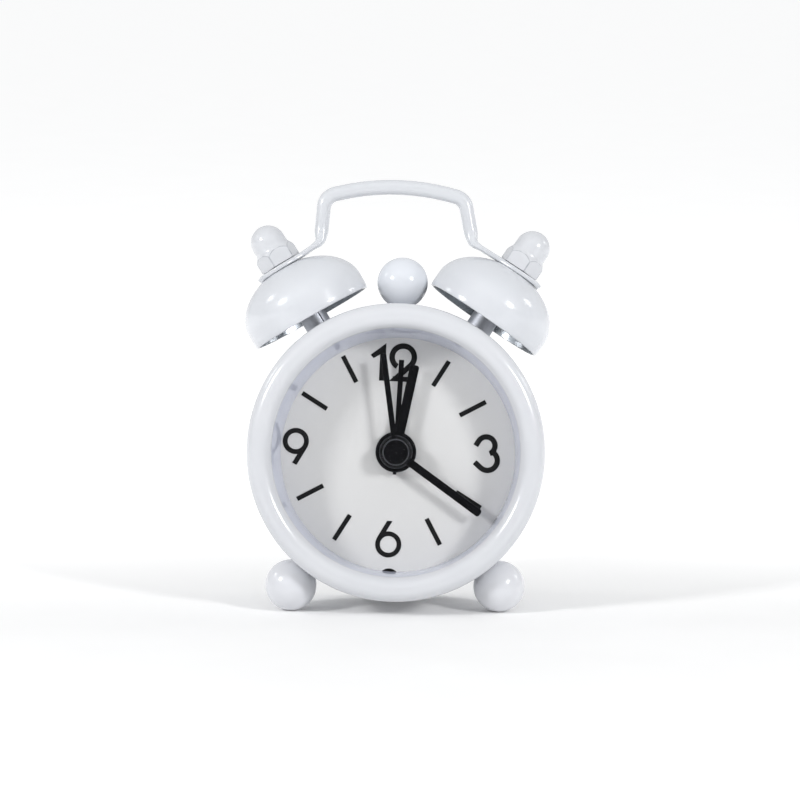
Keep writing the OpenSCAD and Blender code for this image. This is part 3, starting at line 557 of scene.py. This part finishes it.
def cap_nut(side):
    """Domed hexagon nut under a thick coat of paint: soft facets that run into the dome, thin dark grey lines along the
    facet and chamfer edges.
    """
    af, hh, cham, rd, dz = 7.45, 3.1, 0.9, 3.45, 4.9
    rc = af / math.sqrt(3)
    n = 288
    turn = 11.6 if side == "left" else -15.6
    zs = [0.0, 0.04, 0.08, 0.13, 0.19, 0.26, 0.35, 0.46, 0.6, 0.8, 1.0, 1.2, 1.4, 1.6, 1.75] + [1.87 + 0.045 * i for i in range(32)]
    zs += [3.4, 3.6, 3.9, 4.25, 4.6, dz] + [dz + rd * sind(90.0 * i / 24) for i in range(1, 24)]
    verts, edge, rows = [], [], []
    for z in zs:
        dome = rd if z <= dz else rd * math.sqrt(max(0.0, 1 - ((z - dz) / rd) ** 2))
        cone = min(rc - 0.30 + 1.5 * z, rc - (z - hh + cham) * (rc - af / 2 + 0.03) / cham)
        row = []
        for k in range(n):
            th = 360.0 * k / n
            hexa = (af / 2) / cosd((th % 60.0) - 30.0)
            body = soft_min(hexa, cone, 0.16)
            r = -soft_min(-body, -dome, 0.30) if z < 3.75 else dome
            r = min(r, rc - 0.02)
            d_corner = abs(((th + 30.0) % 60.0) - 30.0) * math.pi / 180.0 * rc
            d_cham = abs(hexa - cone)
            e = 0.0
            if 0.2 < z < hh - 0.1 and body > dome + 0.05:
                if hexa < cone + 0.06:
                    e = max(0.0, 1.0 - d_corner / 0.21)
                e = max(e, max(0.0, 1.0 - d_cham / 0.09))
            row.append(len(verts))
            verts.append((r * cosd(th + turn), r * sind(th + turn), z))
            edge.append(e)
        rows.append(row)
    faces = []
    for a, b in zip(rows, rows[1:]):
        for k in range(n):
            k2 = (k + 1) % n
            faces.append((a[k], a[k2], b[k2], b[k]))
    pole = len(verts)
    verts += [(0.0, 0.0, dz + rd), (0.0, 0.0, 0.0)]
    edge += [0.0, 0.0]
    for k in range(n):
        k2 = (k + 1) % n
        faces.append((rows[-1][k], rows[-1][k2], pole))
        faces.append((rows[0][k2], rows[0][k], pole + 1))
    z0 = SEAT + TAB_GAP + TAB + 0.06
    pts = [radial((x, y, z + z0), STUD_A[side], BELL_Y) for x, y, z in verts]
    return build("nut_" + side, pts, faces, [NUT_WHITE], "case", "cap_nut_" + side, sharp=60, attr=("edge", edge))


for s in ("left", "right"):
    bell(s)
    sleeve(s)
    cap_nut(s)


# ---- handle: one bent wire with flattened ends -------------------------------------------------
def handle():
    wire, tab, eye, eye_w, neck = 1.37, TAB + 0.08, 5.5, 4.3, 2.3
    d = SEAT + TAB_GAP + TAB - tab / 2
    al, ar = -STUD_A["left"], STUD_A["right"]
    el, er = Vector((-d * sind(al), d * cosd(al))), Vector((d * sind(ar), d * cosd(ar)))
    dl, dr = Vector((cosd(al), sind(al))), Vector((-cosd(ar), sind(ar)))
    way = [el, el + 4.6 * dl, Vector((-15.2, 41.3)), Vector((-14.35, 50.5)), Vector((-0.5, 53.63)), Vector((13.25, 50.15)), Vector((14.9, 41.25)), er + 4.6 * dr, er]
    bend = [0, 5, 1.9, 3.0, 45, 3.0, 1.9, 5, 0]

    def corner(i):
        u, v = (way[i] - way[i - 1]).normalized(), (way[i + 1] - way[i]).normalized()
        s = 1.0 if u.x * v.y - u.y * v.x > 0 else -1.0
        th = math.degrees(math.acos(max(-1.0, min(1.0, u.dot(v)))))
        a = way[i] - bend[i] * math.tan(math.radians(th / 2)) * u
        nrm = Vector((-u.y, u.x)) * s
        o, w = a + bend[i] * nrm, -bend[i] * nrm
        n = max(4, math.ceil(th / 3.0))
        return [o + Vector((w.x * cosd(s * th * k / n) - w.y * sind(s * th * k / n), w.x * sind(s * th * k / n) + w.y * cosd(s * th * k / n))) for k in range(n + 1)]

    def between(p, q, n):
        return [p + (q - p) * i / n for i in range(1, n)]

    def eye_at(c, dr_, up, i):
        r = eye * cosd(4 + 86 * i / en)
        return c - r * dr_ - 0.35 * max(0.0, (r - 3.9) / 1.6) ** 2 * up

    en = 30
    lead = [eye_at(el, dl, Vector((-sind(al), cosd(al))), i) for i in range(en + 1)]
    trail = [eye_at(er, dr, Vector((sind(ar), cosd(ar))), i) for i in range(en, -1, -1)]
    path = lead + between(el, corner(1)[0], 10)
    for i in range(1, 8):
        c = corner(i)
        nx = corner(i + 1)[0] if i < 7 else er
        path += c + between(c[-1], nx, max(1, math.ceil((nx - c[-1]).length / 0.5)))
    path += trail
    dist = [0.0]
    for p, q in zip(path, path[1:]):
        dist.append(dist[-1] + (q - p).length)
    q0 = eye * (1 - cosd(4))

    def ease(t):
        c = max(0.0, min(1.0, t))
        return c * c * (3 - 2 * c)

    def power(v, e):
        return math.copysign(abs(v) ** (2 / e), v)

    m, verts, faces = 48, [], []
    for i, p in enumerate(path):
        t = (path[min(len(path) - 1, i + 1)] - path[max(0, i - 1)]).normalized()
        nx = Vector((-t.y, t.x))
        q = q0 + min(dist[i], dist[-1] - dist[i])
        c = eye + ((way[2] - el).length if dist[i] < dist[-1] / 2 else (way[6] - er).length)
        a = tab / 2 + (wire - tab / 2) * ease((q - c + 2.2) / 4.6)
        if q < eye:
            b = eye_w * math.sqrt(max(0.0, 1 - (1 - q / eye) ** 2))
        else:
            b = eye_w + (neck - eye_w) * ease((q - eye) / 5.5) + (wire - neck) * ease((q - c + 2.4) / 5.6)
        e = 2 + 3 * (1 - ease((q - c + 3.0) / 5.6))
        bar = ease((p.y - 47.5) / 2.5)
        a += 0.10 * bar
        for j in range(m):
            f = 360.0 * j / m
            u, v = a * power(cosd(f), e), b * power(sind(f), e)
            verts.append((p.x + u * nx.x, v + BELL_Y, p.y + u * nx.y - 0.15 * bar))
    for i in range(len(path) - 1):
        for j in range(m):
            k = (j + 1) % m
            faces.append((i * m + j, i * m + k, (i + 1) * m + k, (i + 1) * m + j))
    faces.append(tuple(range(m - 1, -1, -1)))
    faces.append(tuple((len(path) - 1) * m + j for j in range(m)))
    return build("handle_wire", verts, faces, [WIRE_WHITE], "case", "handle", sharp=60)


handle()


# ---- balls -------------------------------------------------------------------------------------
def ball(name, node, a, y0, d, paint):
    r, neck = 5.0, 2.0
    t0 = math.degrees(math.asin(neck / r))
    prof = [(0.0, 28.0), (neck, 28.0), (neck, d - r * cosd(t0) - 0.08)]
    prof += [(r * sind(t0 + 1.2 + (180.0 - t0 - 1.2) * i / 64), d - r * cosd(t0 + 1.2 + (180.0 - t0 - 1.2) * i / 64)) for i in range(64)]
    prof += [(0.0, d + r)]
    v, f, _ = lathe(prof, 128, closed=False)
    ob = build(name, [radial(p, a, y0) for p in v], f, [paint], "case", node)
    for vert in ob.data.vertices:
        if vert.co.z < 0.0:
            vert.co.z = 0.0
    return ob


ball("finial", "finial_ball", 1.9, BELL_Y, 33.35, BALL_WHITE)
ball("ball_foot_left", "foot_left", 180 + 37.9, -6.0, 33.1, FOOT_WHITE)
ball("ball_foot_right", "foot_right", 180 - 37.9, -6.0, 33.1, FOOT_WHITE)


# ---- hands -------------------------------------------------------------------------------------
def hand(name, node, body, a, rb, bore, length, w0, w1, rt, y0, y1, b0, b1, painted_sheen, cap=False, tail=None):
    poly = rounded([(-w0 / 2, 0, 0), (w0 / 2, 0, 0), (w1 / 2, length, rt), (-w1 / 2, length, rt)], 8)
    e = 0.06
    blade = plate(poly, [(e + 0.03, y0), (e, y0), (e * 0.3, y0 + e * 0.3), (0, y0 + e), (0, y1 - 0.03), (0.03, y1), (0.06, y1)])
    shells = [blade]
    if cap:
        prof = rounded([(0.0, b0, 0), (rb - 0.50, b0, 0), (rb - 0.30, b0, 0.08), (rb, b0 + 0.24, 0.10), (rb, b1, 0.04), (0.0, b1, 0)], 6)
        bv, bf, _ = lathe(prof, 96, closed=False)
    else:
        bv, bf, _ = lathe(rounded([(bore, b0, 0.03), (rb - 0.34, b0, 0), (rb - 0.2, b0, 0.06), (rb, b0 + 0.16, 0.06), (rb, b1, 0.04), (bore, b1, 0)], 6), 96)
    shells.append((bv, bf))
    if tail:
        tw, t0, t1 = tail
        shells.append(plate([(-tw / 2, -t1), (tw / 2, -t1), (tw / 2, -t0), (-tw / 2, -t0)], [(0.05, y0), (0, y0 + 0.05), (0, y1)]))
    v, f = join(*shells)
    # painted highlight: a ring on the boss chamfer, weighted per hand, takes the paler lacquer
    wide = 0.28 if cap else 0.19
    edge = [painted_sheen if rb - wide < math.hypot(p[0], p[1]) < rb - 0.02 and p[2] < b0 + 0.26 else 0.0 for p in bv]
    edge = [0.0] * len(blade[0]) + edge + [0.0] * (len(v) - len(blade[0]) - len(bv))
    return build(name, [about_y(on_axis(p), a) for p in v], f, [HAND], body, node, sharp=32, attr=("edge", edge))


hand("hand_alarm", "alarm_hand", "alarm", 3.2, 4.0, 1.755, 18.05, 0.98, 1.02, 0.12, -6.45, -6.2, -6.6, -6.1, 0.15, tail=(0.7, 3.7, 4.42))
hand("hand_hour", "hour_hand", "hour", 12.0, 3.3, 1.355, 17.4, 1.76, 1.88, 0.55, -7.35, -7.1, -7.5, -6.95, 0.7)
hand("hand_minute", "minute_hand", "minute", 126.0, 3.0, 0.955, 20.4, 1.52, 1.6, 0.55, -8.25, -8.0, -8.4, -7.85, 0.15)
hand("hand_second", "second_hand", "second", 352.4, 2.65, 0.305, 19.3, 1.08, 1.12, 0.1, -9.15, -8.9, -9.65, -8.8, 1.0, cap=True)


# ---- rear knobs --------------------------------------------------------------------------------
def knob(name, node, body, p):
    n = 400
    rows = [(1.6, 10.55, 0), (1.6, 11.3, 0), (3.9, 11.3, 0), (4.25, 11.34, 1), (4.4, 11.5, 1), (4.4, 12.4, 1), (4.4, 13.4, 1), (4.4, 14.5, 1), (4.33, 14.66, 1), (4.18, 14.82, 1), (3.98, 14.94, 1), (3.75, 14.985, 0), (3.3, 14.99, 0),
            (2.5, 14.99, 0), (2.25, 14.98, 0), (2.12, 14.93, 0)]
    rows += [(2.2 * cosd(14 + 76 * i / 12), 15.5 - 2.2 * sind(14 + 76 * i / 12), 0) for i in range(12)]
    verts, faces = [], []
    for r, y, g in rows:
        for k in range(n):
            th = 360.0 * k / n
            rr = r
            if g:
                dlt = ((th + 9.0) % 18.0) - 9.0
                s = 4.62 * sind(dlt)
                if abs(s) < 0.5:
                    rr = soft_min(r, 4.62 * cosd(dlt) - math.sqrt(max(0.0, 0.5 ** 2 - s * s)) + 0.02, 0.06)
            verts.append((p[0] + rr * sind(th), y, p[1] + rr * cosd(th)))
    for i in range(len(rows) - 1):
        for k in range(n):
            k2 = (k + 1) % n
            faces.append((i * n + k, i * n + k2, (i + 1) * n + k2, (i + 1) * n + k))
    a = len(verts)
    verts += [(p[0], 10.55, p[1]), (p[0], 13.3, p[1])]
    m = (len(rows) - 1) * n
    for k in range(n):
        k2 = (k + 1) % n
        faces.append((k2, k, a))
        faces.append((m + k, m + k2, a + 1))
    return build(name, verts, faces, [REAR], body, node, sharp=50)


knob("knob_time", "time_knob", "time_setter", (12 * cosd(-45), 12 * sind(-45)))
knob("knob_alarm", "alarm_knob", "alarm_setter", (12 * cosd(-135), 12 * sind(-135)))


# ---- mouldings of the rear cover ---------------------------------------------------------------
REAR_Y = 10.8


def rear_bead():
    """Half-round bead inside the rim of the cover."""
    r, w, h = 25.7, 0.65, 0.34
    prof = [(r - w, REAR_Y - 0.12)] + [(r - w * cosd(180.0 * k / 16), REAR_Y + h * sind(180.0 * k / 16)) for k in range(17)] + [(r + w, REAR_Y - 0.12)]
    v, f, _ = lathe(prof, 256)
    return build("rear_bead", [on_axis(p) for p in v], f, [REAR], "case", None, sharp=50)


def turn_arrow(name, c, a0, a1):
    """Raised arrow bent round a knob, from angle a0 to its tip at a1."""
    r, y0, y1, e = 6.15, REAR_Y - 0.12, REAR_Y + 0.2, 0.06
    s = 1.0 if a1 > a0 else -1.0
    head = a1 - s * 13.0
    stops = [(a0 + (head - a0) * k / 30, 0.27) for k in range(31)] + [(head + s * 0.4, 0.80)]
    stops += [(head + s * (0.4 + 12.6 * k / 8), 0.80 - 0.72 * k / 8) for k in range(1, 9)]
    verts, faces = [], []
    for a, hw in stops:
        for rr, y in ((r - hw, y0), (r - hw, y1 - e), (r - hw + min(e, hw * 0.6), y1), (r + hw - min(e, hw * 0.6), y1), (r + hw, y1 - e), (r + hw, y0)):
            verts.append((c[0] + rr * cosd(a), y, c[1] + rr * sind(a)))
    for i in range(len(stops) - 1):
        for j in range(6):
            k = (j + 1) % 6
            faces.append((i * 6 + j, i * 6 + k, (i + 1) * 6 + k, (i + 1) * 6 + j))
    faces.append(tuple(range(5, -1, -1)))
    faces.append(tuple((len(stops) - 1) * 6 + j for j in range(6)))
    return build(name, verts, faces, [REAR], "case", None, sharp=35)


rear_bead()
turn_arrow("arrow_time", (12 * cosd(-45), 12 * sind(-45)), 30.0, 140.0)
turn_arrow("arrow_alarm", (12 * cosd(-135), 12 * sind(-135)), 150.0, 40.0)

# ---- carried-over solids -----------------------------------------------------------------------
FINISH = {
    "dial": DIAL, "dial_markings": INK, "front_plate": BLACK, "back_plate": BLACK, "alarm_switch": BLACK, "chip": BLACK,
    "second_wheel": BRASS, "centre_wheel": BRASS, "cannon_pinion": BRASS, "time_set_arbor": BRASS, "alarm_set_arbor": BRASS,
    "buzzer": BRASS, "contact_plus": BRASS, "contact_minus": BRASS,
    "motion_wheel": RESIN, "hour_wheel": RESIN, "alarm_wheel": RESIN, "third_wheel": RESIN, "intermediate_wheel": RESIN, "middle_plate": RESIN,
    "rotor": MAGNET, "coil": COPPER, "circuit_board": BOARD,
    "stator": STEEL, "movement_screws": STEEL, "quartz_crystal": STEEL, "button_cell": STEEL, "rear_cover_screws": STEEL,
    "stud_left": STEEL, "stud_right": STEEL, "inner_nut_left": STEEL, "inner_nut_right": STEEL, "ball_rivets": STEEL,
    "rear_cover": REAR, "battery_door": REAR,
}
EASED = {"rear_cover": 0.12, "battery_door": 0.12, "alarm_switch": 0.10}
for name, mat in FINISH.items():
    ob = nodes[name]
    ob.data.materials.clear()
    ob.data.materials.append(mat)
    ob.data.polygons.foreach_set("material_index", [0] * len(ob.data.polygons))
    if name in EASED:
        w = ob.modifiers.new("weld", "WELD")
        w.merge_threshold = 0.000002
        b = ob.modifiers.new("edge", "BEVEL")
        b.width = EASED[name] * MM
        b.segments = 3
        b.limit_method = "ANGLE"
        b.angle_limit = math.radians(40)
        b.use_clamp_overlap = True

# ---- stage, light and camera -------------------------------------------------------------------
# brightness of the tent all round and of its soft lobes, of the lamps in watts, and of the lit floor
TENT_ALL, TENT_TOP, TENT_SIDE, TENT_BACK, TENT_HIGH, TENT_WIDE = 0.0, 0.44, 0.05, 0.65, 0.48, 0.0
KEY_W, RIM_W = 2.2, 0.36
GLOW_NEAR, GLOW_FAR = 0.03, 0.46


def floor():
    me = bpy.data.meshes.new("floor")
    n, rings = 96, (0.0, 0.3, 1.0, 3.0, 9.0)
    verts, faces = [(0.0, 0.0, -0.00002)], []
    for r in rings[1:]:
        verts += [(r * math.cos(2 * math.pi * k / n), r * math.sin(2 * math.pi * k / n), -0.00002) for k in range(n)]
    for k in range(n):
        faces.append((0, 1 + k, 1 + (k + 1) % n))
        for i in range(len(rings) - 2):
            a, b = 1 + i * n, 1 + (i + 1) * n
            faces.append((a + k, b + k, b + (k + 1) % n, a + (k + 1) % n))
    me.from_pydata(verts, [], faces)
    ob = bpy.data.objects.new("floor", me)
    scene.collection.objects.link(ob)
    mat, nt, p = material("floor_white")
    g = noise(nt, 30.0, 2.0)
    nt.links.new(ramp(nt, g.outputs["Fac"], [(0.3, (0.880, 0.880, 0.880)), (0.7, (0.900, 0.900, 0.900))]), p.inputs["Base Color"])
    p.inputs["Roughness"].default_value = 0.9
    p.inputs["Specular IOR Level"].default_value = 0.0
    p.inputs["Emission Color"].default_value = (1.0, 1.0, 1.0, 1.0)
    where = add(nt, "ShaderNodeSeparateXYZ")
    nt.links.new(add(nt, "ShaderNodeTexCoord").outputs["Object"], where.inputs["Vector"])
    lit = add(nt, "ShaderNodeMapRange", interpolation_type="SMOOTHSTEP")
    for key, v in (("From Min", -0.03), ("From Max", 0.12), ("To Min", GLOW_NEAR), ("To Max", GLOW_FAR)):
        lit.inputs[key].default_value = v
    nt.links.new(where.outputs["Y"], lit.inputs["Value"])
    away = add(nt, "ShaderNodeVectorMath", operation="LENGTH")
    nt.links.new(add(nt, "ShaderNodeTexCoord").outputs["Object"], away.inputs[0])
    wide = add(nt, "ShaderNodeMapRange", interpolation_type="SMOOTHSTEP")
    for key, v in (("From Min", 0.40), ("From Max", 1.10), ("To Min", 0.0), ("To Max", GLOW_FAR)):
        wide.inputs[key].default_value = v
    nt.links.new(away.outputs["Value"], wide.inputs["Value"])
    most = add(nt, "ShaderNodeMath", operation="MAXIMUM")
    nt.links.new(lit.outputs["Result"], most.inputs[0])
    nt.links.new(wide.outputs["Result"], most.inputs[1])
    nt.links.new(most.outputs[0], p.inputs["Emission Strength"])
    me.materials.append(mat)


floor()

w = bpy.data.worlds.new("tent")
scene.world = w
w.use_nodes = True
nt = w.node_tree
bg = nt.nodes["Background"]
bg.inputs["Color"].default_value = (0.985, 0.993, 1.0, 1.0)
tc = nt.nodes.new("ShaderNodeTexCoord")
sep = nt.nodes.new("ShaderNodeSeparateXYZ")
nt.links.new(tc.outputs["Generated"], sep.inputs["Vector"])


def fade(source, lo, hi):
    """0 at lo and 1 at hi of a direction's coordinate, level beyond."""
    m = nt.nodes.new("ShaderNodeMapRange")
    m.inputs["From Min"].default_value = lo
    m.inputs["From Max"].default_value = hi
    nt.links.new(source, m.inputs["Value"])
    return m.outputs["Result"]


def sky_math(op, a, b):
    n = nt.nodes.new("ShaderNodeMath")
    n.operation = op
    for i, v in enumerate((a, b)):
        if isinstance(v, float):
            n.inputs[i].default_value = v
        else:
            nt.links.new(v, n.inputs[i])
    return n.outputs[0]


# the tent is open and dark where the camera stands, and lit above, beside and behind the clock
up_z, front, back = fade(sep.outputs["Z"], 0.0, 1.0), fade(sep.outputs["Y"], 0.0, -1.0), fade(sep.outputs["Y"], 0.0, 1.0)
aside = sky_math("MAXIMUM", fade(sep.outputs["X"], 0.0, 1.0), fade(sep.outputs["X"], 0.0, -1.0))
door = fade(sep.outputs["Y"], -0.96, -0.78)
light = sky_math("MULTIPLY", door, TENT_ALL)
for amount, lobe in ((TENT_TOP, up_z), (TENT_SIDE, aside), (TENT_BACK, back),
                     (2.0 * TENT_HIGH, sky_math("MULTIPLY", sky_math("MULTIPLY", front, up_z), door)),
                     (2.0 * TENT_WIDE, sky_math("MULTIPLY", sky_math("MULTIPLY", front, aside), door))):
    light = sky_math("ADD", light, sky_math("MULTIPLY", lobe, amount))
nt.links.new(light, bg.inputs["Strength"])


def lamp(name, direction, watts, size, far=0.7):
    d = bpy.data.lights.new(name, "AREA")
    d.shape = "DISK"
    d.size = size
    d.energy = watts
    ob = bpy.data.objects.new(name, d)
    aim = world((0, 0, 8))
    v = world_dir(direction).normalized()
    ob.location = aim + v * far
    ob.rotation_mode = "QUATERNION"
    ob.rotation_quaternion = (-v).to_track_quat("-Z", "Y")
    scene.collection.objects.link(ob)


for name, toward, watts in (("key_l", (-0.735, -0.566, 0.373), KEY_W), ("key_r", (0.658, -0.682, 0.320), KEY_W),
                            ("rim_l", (-0.866, 0.020, 0.500), RIM_W), ("rim_r", (0.880, 0.130, 0.457), RIM_W)):
    lamp(name, toward, watts, 0.13)

cam = bpy.data.cameras.new("camera")
cam.lens = 159.7
cam.sensor_width = 36.0
cam.clip_start, cam.clip_end = 0.01, 60.0
cam.dof.use_dof = False
eye = bpy.data.objects.new("camera", cam)
scene.collection.objects.link(eye)
scene.camera = eye
ROLL = 0.4
right, up, fwd = Vector((1, 0, 0)), world_dir((0, 0, 1)), world_dir((0, 1, 0))
r2 = right * cosd(ROLL) + up * sind(ROLL)
u2 = up * cosd(ROLL) - right * sind(ROLL)
m = Matrix((r2, u2, -fwd)).transposed().to_4x4()
m.translation = world((0.739, -700.0, 10.175))
eye.matrix_world = m

scene.view_settings.view_transform = "Standard"
scene.view_settings.look = "None"
